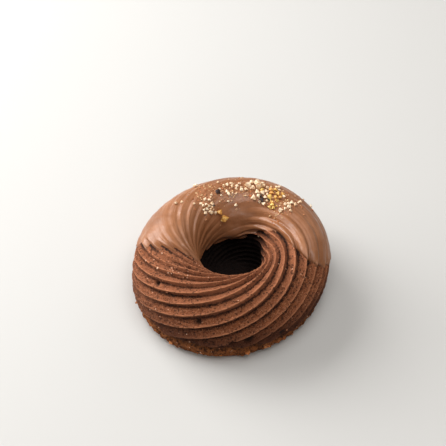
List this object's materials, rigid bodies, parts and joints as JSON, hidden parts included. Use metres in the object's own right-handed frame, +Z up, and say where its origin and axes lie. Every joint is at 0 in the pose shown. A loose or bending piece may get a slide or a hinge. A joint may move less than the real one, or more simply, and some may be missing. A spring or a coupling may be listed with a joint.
{
  "type": "chocolate ring pastry",
  "caption": "Baked chocolate ring with spiral piped ridges, one side dipped in chocolate glaze and sprinkled with chopped nuts, on a flat base.",
  "frame": {"origin": "centre of the flat base, on the surface it stands on, in the middle of the hole", "axes": "+Z up through the hole, +Y towards the glazed side"},
  "size_m": [0.0918, 0.0907, 0.0366],
  "materials": {
    "pastry": "matt baked chocolate dough",
    "glaze": "satin chocolate coating with chopped nuts"
  },
  "bodies": {
    "root": {"ring_body": "pastry", "chocolate_glaze": "glaze"}
  },
  "joints": []
}
